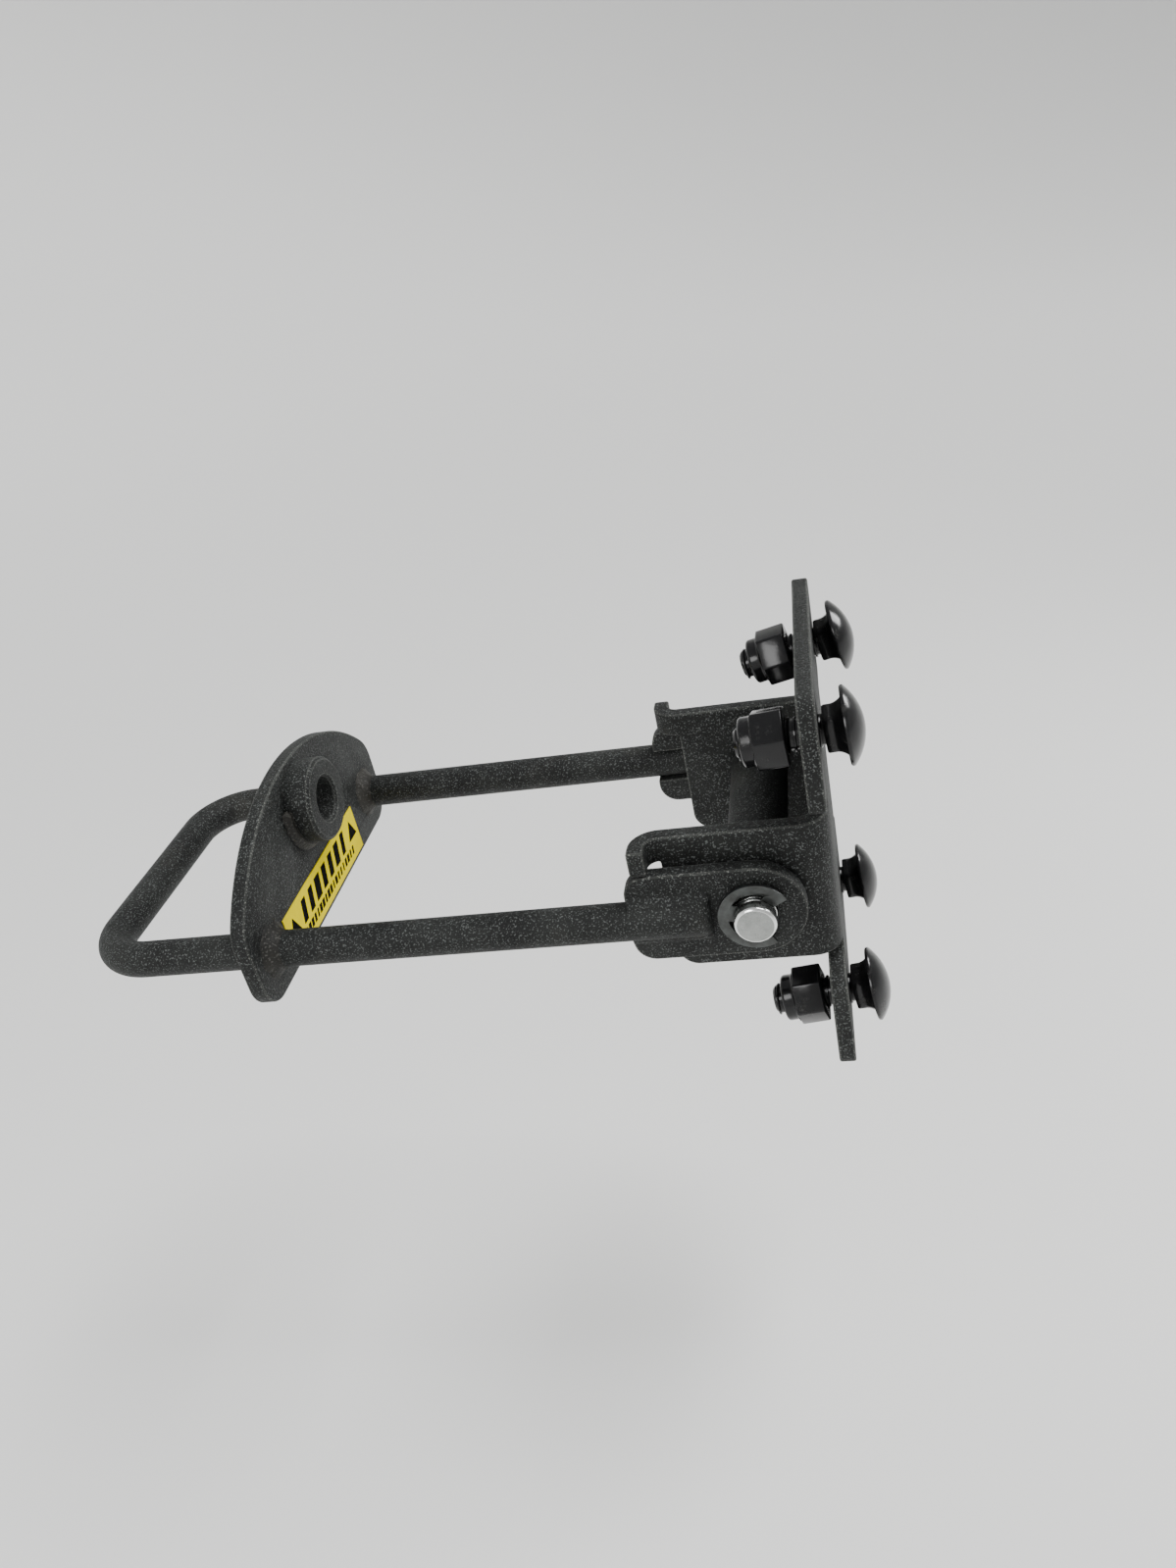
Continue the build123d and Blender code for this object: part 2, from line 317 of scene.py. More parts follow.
@dataclass(frozen=True)
class Film:
    """Printed vinyl film or plain nylon: one colour with a slight mottle and a soft gloss."""

    name: str
    colour: Colour
    shade: Colour
    rough: tuple[float, float] = (0.34, 0.46)
    gloss: float = 0.3

    def material(self) -> bpy.types.Material:
        """Build the material.

        Returns:
            The material.
        """
        graph = ShaderGraph(self.name)
        mottle = graph.remap(graph.noise(260, 3, 0.6), 0.35, 0.7)
        graph.drive("Base Color", graph.tint(mottle, self.colour, self.shade))
        graph.drive("Roughness", graph.remap(graph.noise(700, 2), 0.3, 0.7, *self.rough))
        graph.drive("Normal", graph.bump(graph.noise(600, 2), 0.00003, 0.5))
        graph.fix(Specular_IOR_Level=self.gloss)
        return graph.material


class Finishes:
    """Every finish of the part, each built once."""

    def __init__(self) -> None:
        """Build the materials."""
        self.powder = PowderCoat().material()
        # Paler copy of the coat for the rounded edges: edge wear together with a painted edge highlight.
        self.edge = PowderCoat("powder_coat_worn_edge_highlight", dark=(0.018, 0.0195, 0.018),
                               light=(0.046, 0.049, 0.045), rubbed=(0.085, 0.085, 0.078),
                               painted_glint=(0.22, 0.225, 0.21)).material()
        self.weld = PowderCoat("powder_coat_weld", dark=(0.0085, 0.0085, 0.0075),
                               light=(0.034, 0.032, 0.027), rubbed=(0.080, 0.075, 0.064),
                               painted_glint=(0.100, 0.098, 0.090), grain=1500, depth=0.00018).material()
        self.gloss = GlossBlack().material()
        self.zinc = BareSteel("bright_zinc", colour=(0.33, 0.34, 0.33), stained=(0.25, 0.26, 0.25),
                              rough=(0.24, 0.33), grain=Grain.TURNED).material()
        # Much brighter steel for the pin's chamfers and rounded edges: a painted highlight.
        self.zinc_edge_highlight = BareSteel("bright_zinc_edge_highlight", colour=(0.86, 0.87, 0.86),
                                   stained=(0.74, 0.75, 0.74), rough=(0.14, 0.22)).material()
        self.spring = BareSteel("spring_steel", colour=(0.085, 0.09, 0.088),
                                stained=(0.045, 0.045, 0.043), rough=(0.30, 0.46)).material()
        self.nylon = Film("nylon", (0.05, 0.05, 0.055), (0.035, 0.035, 0.04), rough=(0.4, 0.55)).material()
        self.label = Film("label_film", (0.76, 0.63, 0.0), (0.71, 0.58, 0.0), gloss=0.0).material()
        self.ink = Film("label_ink", (0.006, 0.006, 0.006), (0.012, 0.012, 0.011), gloss=0.0).material()


# ---------------------------------------------------------------- mesh helpers


def keep(piece: bpy.types.Object, body: Body, replaces: Sequence[str] = ()) -> None:
    """Attach a finished piece to its body and hide the CAD nodes that it stands for.

    Args:
        piece: The finished object, at the origin.
        body: The body that it rides on.
        replaces: CAD nodes that it stands for.
    """
    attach(piece, body.value)
    if replaces:
        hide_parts(*replaces)
    log.info("%s: %d faces on %s", piece.name, len(piece.data.polygons), body.value)


def shade(mesh: bpy.types.Mesh, angle: float = 32.0) -> None:
    """Shade smooth, with edges sharper than the angle (degrees) kept crisp."""
    mesh.shade_smooth()
    mesh.set_sharp_from_angle(angle=math.radians(angle))


def plain_object(name: str, data: Union[bpy.types.Mesh, bpy.types.Curve]) -> bpy.types.Object:
    """Link a new object into the scene.

    Args:
        name: Its name.
        data: Its mesh or curve.

    Returns:
        The object.
    """
    piece = bpy.data.objects.new(name, data)
    bpy.context.scene.collection.objects.link(piece)
    return piece


def flatten(source: bpy.types.Object, name: str) -> bpy.types.Object:
    """Turn an object with modifiers into a plain mesh object.

    Args:
        source: The object, which is removed.
        name: Name of the result.

    Returns:
        The plain mesh object.
    """
    graph = bpy.context.evaluated_depsgraph_get()
    mesh = bpy.data.meshes.new_from_object(source.evaluated_get(graph))
    bpy.data.objects.remove(source)
    mesh.name = name
    return plain_object(name, mesh)


@dataclass
class SoftenedCopy:
    """A copy of a CAD node whose sharp edges are rounded, with the rounded strips in their own finish."""

    node: str
    width: float = 0.5 * MM
    segments: int = 2
    angle: float = 34.0
    merge: float = 0.002 * MM
    flat_angle: float = 0.6
    crisp_angle: float = 40.0

    def build(self, main: bpy.types.Material,
              edge: Optional[bpy.types.Material] = None) -> bpy.types.Object:
        """Build the copy.

        Args:
            main: Finish of the faces.
            edge: Finish of the rounded edges, or None for the same.

        Returns:
            The object, named after the node with _soft added.
        """
        mesh = frame["nodes"][self.node].data.copy()
        mesh.materials.clear()
        mesh.materials.append(main)
        mesh.materials.append(edge or main)
        work = bmesh.new()
        work.from_mesh(mesh)
        bmesh.ops.remove_doubles(work, verts=work.verts, dist=self.merge)
        bmesh.ops.dissolve_limit(work, angle_limit=math.radians(self.flat_angle), verts=work.verts,
                                 edges=work.edges)
        for face in work.faces:
            face.material_index = 0
        work.to_mesh(mesh)
        work.free()
        if "custom_normal" in mesh.attributes:
            mesh.attributes.remove(mesh.attributes["custom_normal"])
        copy = plain_object(self.node + "_raw", mesh)
        bevel = copy.modifiers.new("soft_edges", "BEVEL")
        bevel.width = self.width
        bevel.segments = self.segments
        bevel.limit_method = "ANGLE"
        bevel.angle_limit = math.radians(self.angle)
        bevel.use_clamp_overlap = False
        bevel.material = 1
        bevel.miter_outer = "MITER_ARC"
        piece = flatten(copy, self.node + "_soft")
        shade(piece.data, self.crisp_angle)
        return piece


class GeometryRecipe:
    """A Geometry Nodes tree with named inputs that is run once and kept as a plain mesh."""

    def __init__(self, name: str) -> None:
        """Start a tree with one geometry input.

        Args:
            name: The tree's name.
        """
        self.tree = bpy.data.node_groups.new(name, "GeometryNodeTree")
        self.tree.interface.new_socket("Geometry", in_out="INPUT", socket_type="NodeSocketGeometry")
        self.tree.interface.new_socket("Geometry", in_out="OUTPUT", socket_type="NodeSocketGeometry")
        self.start = self.tree.nodes.new("NodeGroupInput")
        self.identifiers: dict[str, str] = {}

    def input(self, name: str, kind: str = "Float") -> bpy.types.NodeSocket:
        """Add a named input.

        Args:
            name: Its name.
            kind: Its kind, such as Float, Int or Material.

        Returns:
            Its socket.
        """
        item = self.tree.interface.new_socket(name, in_out="INPUT", socket_type=f"NodeSocket{kind}")
        self.identifiers[name] = item.identifier
        return self.start.outputs[name]

    def node(self, kind: str, links: Optional[dict] = None, values: Optional[dict] = None,
             **settings: str) -> bpy.types.Node:
        """Add a node.

        Args:
            kind: The node's type name.
            links: Input name or number to the socket that feeds it.
            values: Input name or number to a plain value.
            **settings: Properties of the node.

        Returns:
            The node.
        """
        node = self.tree.nodes.new(kind)
        for key, value in settings.items():
            setattr(node, key, value)
        for key, value in (values or {}).items():
            node.inputs[key].default_value = value
        for key, socket in (links or {}).items():
            self.tree.links.new(socket, node.inputs[key])
        return node

    def product(self, first: bpy.types.NodeSocket, second: bpy.types.NodeSocket) -> bpy.types.NodeSocket:
        """Multiply two sockets and return the result."""
        node = self.node("ShaderNodeMath", {0: first, 1: second}, operation="MULTIPLY")
        return node.outputs[0]

    def close(self, geometry: bpy.types.NodeSocket) -> None:
        """End the tree with Realize Instances and Set Material.

        Args:
            geometry: The last geometry socket.
        """
        finish = self.input("Finish", "Material")
        real = self.node("GeometryNodeRealizeInstances", {"Geometry": geometry})
        dressed = self.node("GeometryNodeSetMaterial", {"Geometry": real.outputs[0], "Material": finish})
        end = self.tree.nodes.new("NodeGroupOutput")
        self.tree.links.new(dressed.outputs[0], end.inputs[0])

    def make(self, name: str, base: bpy.types.Object,
             **values: Union[float, int, bpy.types.Material]) -> bpy.types.Object:
        """Run the tree on an object and keep the result.

        Args:
            name: Name of the result.
            base: Object that the tree starts from, which is removed.
            **values: The named inputs, with _ for a space.

        Returns:
            The plain mesh object.
        """
        modifier = base.modifiers.new(name, "NODES")
        modifier.node_group = self.tree
        for key, value in values.items():
            modifier[self.identifiers[key.replace("_", " ")]] = value
        base.update_tag()
        bpy.context.view_layer.update()
        return flatten(base, name)


def path_object(name: str, points: Sequence[Vector]) -> bpy.types.Object:
    """Make an open poly curve through points.

    Args:
        name: Its name.
        points: The points, in metres.

    Returns:
        The curve object.
    """
    data = bpy.data.curves.new(name, "CURVE")
    data.dimensions = "3D"
    spline = data.splines.new("POLY")
    spline.points.add(len(points) - 1)
    for slot, point in zip(spline.points, points):
        slot.co = (*point, 1.0)
    return plain_object(name, data)


def loft(name: str, rings: Sequence[Sequence[Vector]], material: bpy.types.Material) -> bpy.types.Object:
    """Skin a row of rings that have the same number of points, and close both ends.

    Args:
        name: The object's name.
        rings: The rings, in order.
        material: Its finish.

    Returns:
        The closed object.
    """
    work = bmesh.new()
    rows = [[work.verts.new(point) for point in ring] for ring in rings]
    for lower, upper in zip(rows, rows[1:]):
        for i in range(len(lower)):
            j = (i + 1) % len(lower)
            work.faces.new((lower[i], lower[j], upper[j], upper[i]))
    work.faces.new(rows[0])
    work.faces.new(rows[-1])
    bmesh.ops.recalc_face_normals(work, faces=work.faces)
    mesh = bpy.data.meshes.new(name)
    work.to_mesh(mesh)
    work.free()
    mesh.materials.append(material)
    shade(mesh)
    return plain_object(name, mesh)


# ---------------------------------------------------------------- bracket


@dataclass
class MountBracket:
    """The formed plate with its ears and stop lips."""

    edge_round: float = 0.55 * MM

    def build(self, finishes: Finishes) -> None:
        """Round the plate's cut edges and give it its coat."""
        plate = SoftenedCopy("mount_bracket", self.edge_round).build(finishes.powder, finishes.edge)
        keep(plate, Body.BRACKET, ["mount_bracket"])


@dataclass
class PivotPin:
    """The plain pin, its two retaining clips and the spacer tube round it."""

    pin_round: float = 0.12 * MM
    clip_round: float = 0.18 * MM
    tube_round: float = 0.4 * MM
    chamfer_tilt: tuple[float, float] = (0.3, 0.97)

    def build(self, finishes: Finishes) -> None:
        """Dress the pin and soften the clips and the tube.

        Args:
            finishes: The part's finishes.
        """
        pin = SoftenedCopy("pivot_pin", self.pin_round, 1).build(finishes.zinc, finishes.zinc_edge_highlight)
        # Faces tilted like the chamfers take the brighter steel: a painted highlight on the pin's ends.
        low, high = self.chamfer_tilt
        for face in pin.data.polygons:
            if low < abs(face.normal.y) < high:
                face.material_index = 1
        keep(pin, Body.BRACKET, ["pivot_pin"])
        for side in ("right", "left"):
            clip = SoftenedCopy(f"e_clip_{side}", self.clip_round).build(finishes.spring)
            keep(clip, Body.BRACKET, [f"e_clip_{side}"])
        tube = SoftenedCopy("spacer_tube", self.tube_round).build(finishes.powder, finishes.edge)
        keep(tube, Body.BRACKET, ["spacer_tube"])


@dataclass
class BoltSet:
    """Four carriage bolts with rolled threads, their nuts and the rings inside the nuts."""

    hole: tuple[float, float, float] = (2.3 * MM, 26.9 * MM, 42.1 * MM)
    tips: tuple[float, ...] = (12.0, 4.0, 6.0, 7.5)
    standoff: float = 8.8 * MM
    head: float = 10.4 * MM
    head_height: float = 5.0 * MM
    rim: float = 0.9 * MM
    neck: float = 4.95 * MM
    neck_flare: float = 2.0 * MM
    flare_length: float = 3.4 * MM
    neck_length: float = 5.2 * MM
    root: float = 4.02 * MM
    crest: float = 4.58 * MM
    pitch: float = 1.59 * MM
    length: float = 28.0 * MM
    tip: float = 0.7 * MM
    thread_sink: float = 0.1 * MM
    nut_round: float = 0.6 * MM
    nut_angle: float = 24.0
    dome_shares: tuple[float, ...] = (0.02, 0.10, 0.20, 0.32, 0.45, 0.58, 0.70, 0.81, 0.90, 0.96, 0.985)
    rim_shares: tuple[tuple[float, float], ...] = ((0.95, 0.998), (0.55, 1.0), (0.20, 0.992), (0.0, 0.965))
    neck_powers: tuple[tuple[float, float], ...] = (
        (0.0, 3.0), (0.08, 3.4), (0.20, 4.0), (0.36, 5.0), (0.56, 6.5), (0.78, 8.0), (1.0, 9.0))
    neck_foot: tuple[tuple[float, float, float], ...] = (
        (0.5 * MM, 0.0, 9.0), (0.1 * MM, 0.15 * MM, 8.0), (0.0, 0.5 * MM, 6.0))
    flare_hollow: float = 2.4
    points: int = 64

    def axis(self, number: int) -> Matrix:
        """Frame of a bolt, with Z along it towards the head and the plate's middle at 0.

        Args:
            number: 1 to 4.

        Returns:
            The frame.
        """
        side_y = 1 if number % 2 else -1
        side_z = 1 if number < 3 else -1
        depth, across, up = self.hole
        place = Matrix.Translation((-depth, side_y * across, side_z * up))
        return place @ Matrix.Rotation(math.radians(90 - self.tips[number - 1]), 4, "Y")

    def ring(self, height: float, half: float, power: float = 2.0) -> list[Vector]:
        """One ring of the bolt.

        Args:
            height: Where it lies, from the head's underside.
            half: Half of its width.
            power: 2 gives a circle, more gives a square with rounder or crisper corners.

        Returns:
            Its points in the bolt's frame.
        """
        points = []
        for i in range(self.points):
            turn = 2 * math.pi * i / self.points
            reach = half / (abs(math.cos(turn)) ** power + abs(math.sin(turn)) ** power) ** (1 / power)
            points.append(Vector((reach * math.cos(turn), reach * math.sin(turn), self.standoff + height)))
        return points

    def head_rings(self) -> list[list[Vector]]:
        """Rings of the domed head, from its crown to the underside.

        Returns:
            The rings.
        """
        rise = self.head_height - self.rim
        radius = (self.head ** 2 + rise ** 2) / (2 * rise)
        rings = []
        for share in self.dome_shares:
            reach = self.head * share
            rings.append(self.ring(self.head_height - radius + math.sqrt(radius ** 2 - reach ** 2), reach))
        for height, width in self.rim_shares:
            rings.append(self.ring(self.rim * height, self.head * width))
        return rings

    def neck_rings(self) -> list[list[Vector]]:
        """Rings of the flared square neck.

        Returns:
            The rings.
        """
        rings = []
        for share, power in self.neck_powers:
            reach = self.neck + self.neck_flare * (1 - share) ** self.flare_hollow
            rings.append(self.ring(-self.flare_length * share, reach, power))
        for rise, inset, power in self.neck_foot:
            rings.append(self.ring(-self.neck_length + rise, self.neck - inset, power))
        return rings

    def thread_recipe(self) -> GeometryRecipe:
        """Geometry Nodes tree that sweeps a ridge along a helix.

        Returns:
            The tree.
        """
        recipe = GeometryRecipe("rolled_thread")
        turns, radius, height, ridge = (recipe.input(n) for n in ("Turns", "Radius", "Height", "Ridge"))
        sizes = {"Rotations": turns, "Start Radius": radius, "End Radius": radius, "Height": height}
        helix = recipe.node("GeometryNodeCurveSpiral", sizes, {"Resolution": 36})
        profile = recipe.node("GeometryNodeCurvePrimitiveCircle", {"Radius": ridge}, {"Resolution": 6})
        sweep = {"Curve": helix.outputs[0], "Profile Curve": profile.outputs[0]}
        swept = recipe.node("GeometryNodeCurveToMesh", sweep, {"Fill Caps": True})
        recipe.close(swept.outputs[0])
        return recipe

    def build(self, finishes: Finishes) -> None:
        """Build all four fasteners.

        Args:
            finishes: The part's finishes.
        """
        recipe = self.thread_recipe()
        for number in range(1, 5):
            self.build_bolt(number, finishes, recipe)
            nut_shape = SoftenedCopy(f"lock_nut_{number}", self.nut_round, 3, self.nut_angle)
            nut = nut_shape.build(finishes.gloss)
            keep(nut, Body.BRACKET, [f"lock_nut_{number}"])
            insert = frame["nodes"][f"nylon_insert_{number}"].data
            insert.materials.clear()
            insert.materials.append(finishes.nylon)

    def build_bolt(self, number: int, finishes: Finishes, recipe: GeometryRecipe) -> None:
        """Build one bolt and its thread.

        Args:
            number: 1 to 4.
            finishes: The part's finishes.
            recipe: The thread's tree.
        """
        shank = [self.ring(-self.neck_length, self.root),
                 self.ring(-self.length + self.tip, self.root),
                 self.ring(-self.length, self.root - self.tip)]
        rings = self.head_rings() + self.neck_rings() + shank
        bolt = loft(f"carriage_bolt_{number}_turned", rings, finishes.gloss)
        bolt.data.transform(self.axis(number))
        keep(bolt, Body.BRACKET, [f"carriage_bolt_{number}"])
        run = self.length - self.neck_length - 2 * self.tip
        ridge = (self.crest - self.root) / 2 + self.thread_sink
        start = plain_object("thread_start", bpy.data.meshes.new("thread_start"))
        thread = recipe.make(f"bolt_thread_{number}", start, Turns=run / self.pitch,
                             Radius=self.crest - ridge, Height=run, Ridge=ridge, Finish=finishes.gloss)
        offset = Matrix.Translation((0, 0, self.standoff - self.length + self.tip))
        thread.data.transform(self.axis(number) @ offset)
        shade(thread.data, 50)
        keep(thread, Body.BRACKET)


# ---------------------------------------------------------------- bail


@dataclass
class StrapWeld:
    """The smooth weld that fills the joint between a strap's outer face and the rod's end."""

    leg: float
    rod: float
    rod_end: float
    strap_end: float = 55.0 * MM
    strap_face: float = 44.0 * MM
    reach: float = 3.0 * MM
    crown: float = 2.4 * MM
    slope: float = 0.95
    tail: float = 3.4 * MM
    play: float = 0.08 * MM
    blend: float = 0.8 * MM
    sink: float = 0.12 * MM
    depth: float = 0.5 * MM
    inset: float = 0.6 * MM
    step: float = 0.4 * MM

    def soft_max(self, first: float, second: float) -> float:
        """Larger of two heights, with the crease between them rounded."""
        share = max(self.blend - abs(first - second), 0.0) / self.blend
        return max(first, second) + share * share * self.blend / 4

    def height(self, x: float, z: float) -> float:
        """Height of the weld over the strap's outer face.

        Args:
            x: Distance past the rod's end, towards the pin, in metres.
            z: Distance from the rod's axis, in metres.

        Returns:
            The height, 0 where the strap is bare.
        """
        across = math.sqrt(max(0.0, (self.rod + self.play) ** 2 - z * z)) - (self.strap_face - self.leg)
        side = max(0.0, min((self.rod + self.reach - abs(z)) * self.slope, self.crown))
        height = self.soft_max(across, side * side / self.crown)
        if x > 0:
            height *= math.sqrt(max(0.0, 1 - (x / self.tail) ** 2))
        return max(0.0, height)

    def build(self, side: str, sign: int, material: bpy.types.Material) -> None:
        """Lay the weld on one strap.

        Args:
            side: "right" or "left".
            sign: -1 or 1, the side's direction along Y.
            material: Its finish.
        """
        half = self.rod + self.reach
        start, end = -self.strap_end + self.inset, -self.rod_end + self.tail
        columns = round((end - start) / self.step)
        rows = round(2 * half / self.step)
        work = bmesh.new()
        grid = []
        for i in range(columns + 1):
            x = start + (end - start) * i / columns
            line = []
            for j in range(rows + 1):
                z = -half + 2 * half * j / rows
                height = self.height(x + self.rod_end, z) - self.sink
                line.append(work.verts.new((x, sign * (self.strap_face + height), z)))
            grid.append(line)
        for i in range(columns):
            for j in range(rows):
                work.faces.new((grid[i][j], grid[i + 1][j], grid[i + 1][j + 1], grid[i][j + 1]))
        rim = [line[0] for line in grid[:-1]] + grid[-1][:-1]
        rim += [line[-1] for line in grid[:0:-1]] + grid[0][:0:-1]
        back = sign * (self.strap_face - self.depth)
        foot = [work.verts.new((vert.co.x, back, vert.co.z)) for vert in rim]
        for i in range(len(rim)):
            j = (i + 1) % len(rim)
            work.faces.new((rim[i], rim[j], foot[j], foot[i]))
        work.faces.new(foot)
        bmesh.ops.recalc_face_normals(work, faces=work.faces)
        mesh = bpy.data.meshes.new("strap_mound")
        work.to_mesh(mesh)
        work.free()
        mesh.materials.append(material)
        shade(mesh, 60)
        mound = plain_object(f"strap_weld_{side}_mound", mesh)
        keep(mound, Body.BAIL, [f"strap_weld_{side}"])


@dataclass
class LegWeld:
    """The hollow, slightly uneven weld round a leg where it passes through the cross plate."""

    leg: float
    rod: float
    plate_face: float
    length: float = 4.0 * MM
    stand: float = 2.9 * MM
    hollow: float = 2.1
    play: float = 0.03 * MM
    inset: float = 0.4 * MM
    unevenness: float = 2.2
    wave_counts: tuple[int, ...] = (2, 3, 5, 8, 13)
    wave_size: tuple[float, float] = (0.03, 0.11)
    seed: int = 11
    shares: tuple[float, ...] = (-0.08, 0.0, 0.05, 0.12, 0.20, 0.30, 0.42, 0.56, 0.72, 0.88, 1.0)
    points: int = 72

    def ring(self, sign: int, share: float, radii: Sequence[float]) -> list[Vector]:
        """One ring round a leg.

        Args:
            sign: -1 or 1, the side's direction along Y.
            share: Its place along the weld, 0 at the plate's face.
            radii: Its radius at each point.

        Returns:
            Its points.
        """
        x = -self.plate_face + self.length * share
        points = []
        for i, radius in enumerate(radii):
            turn = 2 * math.pi * i / len(radii)
            points.append(Vector((x, sign * self.leg + radius * math.cos(turn), radius * math.sin(turn))))
        return points

    def build(self, side: str, sign: int, material: bpy.types.Material) -> None:
        """Turn the weld round one leg.

        Args:
            side: "right" or "left".
            sign: -1 or 1, the side's direction along Y.
            material: Its finish.
        """
        dice = random.Random(self.seed + sign)
        waves = [(n, dice.uniform(*self.wave_size) * MM, dice.uniform(0, 6.28)) for n in self.wave_counts]
        turns = [2 * math.pi * i / self.points for i in range(self.points)]
        uneven = [sum(size * math.sin(n * turn + phase) for n, size, phase in waves) for turn in turns]
        foot = self.rod + self.play
        rings = []
        for share in self.shares:
            fall = (1 - max(share, 0.0)) ** self.hollow
            radii = [foot + (self.stand + self.unevenness * wave) * fall for wave in uneven]
            rings.append(self.ring(sign, share, radii))
        rings.append(self.ring(sign, 1.0, [self.rod - self.inset] * self.points))
        collar = loft(f"rod_weld_{side}_collar", rings, material)
        shade(collar.data, 60)
        keep(collar, Body.BAIL, [f"rod_weld_{side}"])


@dataclass
class Bail:
    """The bent rod, its straps, the cross plate with its boss, and the welds."""

    leg: float = 43.9 * MM
    rod: float = 5.3 * MM
    reach: float = 215.9 * MM
    rod_end: float = 36.0 * MM
    bend: float = 16.0 * MM
    plate_face: float = 158.5 * MM
    boss: float = 13.0 * MM
    boss_rise: float = 23.2 * MM
    edge_round: float = 0.55 * MM
    boss_round: float = 0.25 * MM
    weld_round: float = 0.7 * MM
    ripple_step: float = 0.95 * MM
    ripple_radius: float = 0.95 * MM
    ripple_rise: float = 0.75 * MM
    ripple_stand: float = 0.45 * MM
    ripple_start: float = 167.0
    ripple_sweep: float = 136.0
    ripple_points: int = 40
    ripple_sizes: tuple[tuple[float, ...], ...] = ((0.62, 0.88, 0.88), (0.90, 1.08, 1.08))

    def rod_recipe(self) -> GeometryRecipe:
        """Geometry Nodes tree that rounds a path's corners and sweeps a round bar along it.

        Returns:
            The tree.
        """
        recipe = GeometryRecipe("bent_rod")
        radius, bend = recipe.input("Rod radius"), recipe.input("Bend radius")
        corners = {"Curve": recipe.start.outputs["Geometry"], "Radius": bend}
        rounded = recipe.node("GeometryNodeFilletCurve", corners, {"Count": 20}, mode="POLY")
        profile = recipe.node("GeometryNodeCurvePrimitiveCircle", {"Radius": radius}, {"Resolution": 48})
        sweep = {"Curve": rounded.outputs[0], "Profile Curve": profile.outputs[0]}
        swept = recipe.node("GeometryNodeCurveToMesh", sweep, {"Fill Caps": True})
        recipe.close(swept.outputs[0])
        return recipe

    def bead_recipe(self) -> GeometryRecipe:
        """Geometry Nodes tree that lays overlapping weld ripples along a path.

        Returns:
            The tree.
        """
        recipe = GeometryRecipe("weld_ripples")
        size, step = recipe.input("Bead radius"), recipe.input("Ripple step")
        seed = recipe.input("Seed", "Int")
        spaced = recipe.node("GeometryNodeResampleCurve",
                             {"Curve": recipe.start.outputs["Geometry"], "Length": step}, mode="LENGTH")
        tangent = recipe.node("GeometryNodeInputTangent")
        turn = recipe.node("FunctionNodeAlignRotationToVector", {"Vector": tangent.outputs[0]}, axis="X")
        ripple = recipe.node("GeometryNodeMeshUVSphere", {"Radius": size}, {"Segments": 12, "Rings": 8})
        jitter = recipe.node("FunctionNodeRandomValue", {"Seed": seed},
                             dict(enumerate(self.ripple_sizes)), data_type="FLOAT_VECTOR")
        row = recipe.node("GeometryNodeInstanceOnPoints",
                          {"Points": spaced.outputs[0], "Instance": ripple.outputs[0],
                           "Rotation": turn.outputs[0], "Scale": jitter.outputs[0]})
        recipe.close(row.outputs[0])
        return recipe

    def build(self, finishes: Finishes) -> None:
        """Build the whole bail.

        Args:
            finishes: The part's finishes.
        """
        self.build_rod(finishes)
        for node in ("strap_right", "strap_left", "cross_plate"):
            piece = SoftenedCopy(node, self.edge_round).build(finishes.powder, finishes.edge)
            keep(piece, Body.BAIL, [node])
        boss = SoftenedCopy("latch_boss", self.boss_round).build(finishes.powder, finishes.edge)
        keep(boss, Body.BAIL, ["latch_boss"])
        weld = SoftenedCopy("boss_weld", self.weld_round, 3).build(finishes.weld)
        keep(weld, Body.BAIL, ["boss_weld"])
        for side, sign in (("right", -1), ("left", 1)):
            StrapWeld(self.leg, self.rod, self.rod_end).build(side, sign, finishes.powder)
            LegWeld(self.leg, self.rod, self.plate_face).build(side, sign, finishes.weld)
        self.build_ripples(finishes)

    def build_rod(self, finishes: Finishes) -> None:
        """Sweep the U-shaped rod.

        Args:
            finishes: The part's finishes.
        """
        points = [Vector((-self.rod_end, -self.leg, 0)), Vector((-self.reach, -self.leg, 0)),
                  Vector((-self.reach, self.leg, 0)), Vector((-self.rod_end, self.leg, 0))]
        rod = self.rod_recipe().make("bail_rod_swept", path_object("rod_path", points),
                                     Rod_radius=self.rod, Bend_radius=self.bend, Finish=finishes.powder)
        shade(rod.data, 40)
        keep(rod, Body.BAIL, ["bail_rod"])

    def build_ripples(self, finishes: Finishes) -> None:
        """Lay the ripples on the weld at the boss's foot.

        Args:
            finishes: The part's finishes.
        """
        radius = self.boss + self.ripple_stand
        path = []
        for i in range(self.ripple_points):
            turn = math.radians(self.ripple_start + self.ripple_sweep * i / (self.ripple_points - 1))
            path.append(Vector((-self.plate_face + self.ripple_rise, radius * math.cos(turn),
                                self.boss_rise + radius * math.sin(turn))))
        beads = self.bead_recipe().make("weld_ripples_boss", path_object("bead_path", path),
                                        Bead_radius=self.ripple_radius, Ripple_step=self.ripple_step,
                                        Seed=1, Finish=finishes.weld)
        shade(beads.data, 60)
        keep(beads, Body.BAIL)


@dataclass
class MarkRow:
    """A row of slanted marks on the label."""

    name: str
    count: int
    step: float
    height: float
    width: float
    place: float
    seed: int


